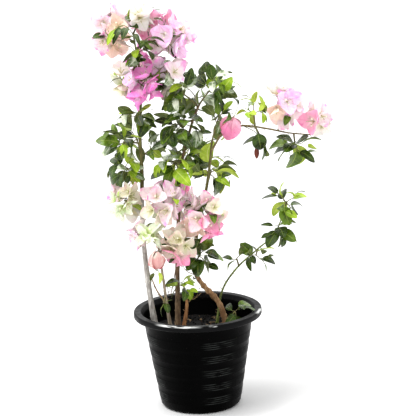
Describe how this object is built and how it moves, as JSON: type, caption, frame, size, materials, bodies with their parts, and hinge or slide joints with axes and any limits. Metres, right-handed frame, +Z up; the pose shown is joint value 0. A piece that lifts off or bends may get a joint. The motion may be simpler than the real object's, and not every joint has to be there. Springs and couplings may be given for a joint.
{
  "type": "potted bougainvillea bush",
  "caption": "Potted flowering shrub: slender woody stems in a ribbed round nursery pot, with leafy masses and clusters of papery pink and white bracts.",
  "frame": {"origin": "centre of the pot's flat underside", "axes": "+Z up, -Y towards the viewer of the picture, +X to the viewer's right"},
  "size_m": [0.5466, 0.3, 0.9544],
  "materials": {
    "pot": "black moulded plastic with a satin gloss and fine level ribs",
    "soil": "dark crumbly potting soil, matt",
    "bark_grey": "pale grey smooth bark, matt",
    "bark_tan": "tan bark, matt",
    "bark_brown": "dark brown bark, matt",
    "bark_rust": "orange-brown flaking bark, matt",
    "green_wood": "young green-brown shoot, matt",
    "leaf": "smooth green leaves, satin",
    "blossom": "thin papery bracts from white and cream to pink, matt"
  },
  "bodies": {
    "root": {"pot": "pot", "soil": "soil", "left_stem": "bark_grey", "front_stem": "bark_tan", "centre_stem": "bark_brown", "stump_stem": "bark_rust", "main_stem": "bark_rust", "right_bough": "green_wood", "right_shoot": "green_wood", "top_blossom_left": "blossom", "top_blossom_crown": "blossom", "top_blossom_right": "blossom", "leader_leaves": "leaf", "upper_blossom_left": "blossom", "upper_blossom_right": "blossom", "upper_blossom_pale": "blossom", "leader_back": "blossom", "left_leaves_upper": "leaf", "left_leaves_outer": "leaf", "left_leaves_low": "leaf", "left_leaves_inner": "leaf", "left_leaves_back": "leaf", "centre_crown_left": "leaf", "centre_crown_right": "leaf", "centre_heart": "leaf", "centre_right": "leaf", "centre_low": "leaf", "centre_low_right": "leaf", "back_crown": "leaf", "back_heart": "leaf", "back_blossom": "blossom", "low_blossom_left": "blossom", "low_blossom_middle": "blossom", "low_blossom_right": "blossom", "low_blossom_front": "blossom", "low_blossom_foot": "blossom", "low_bud": "blossom", "low_leaves": "leaf", "bough_bloom": "blossom", "bough_leaves": "leaf", "bough_blossom": "blossom", "bough_leaf_low": "leaf", "bough_leaves_far": "leaf", "bough_tip": "blossom", "shoot_leaf_low": "leaf", "shoot_leaves_middle": "leaf", "shoot_leaves_high": "leaf", "shoot_tip": "leaf", "foot_leaves": "leaf", "foot_leaf": "leaf", "sucker": "leaf"}
  },
  "joints": []
}
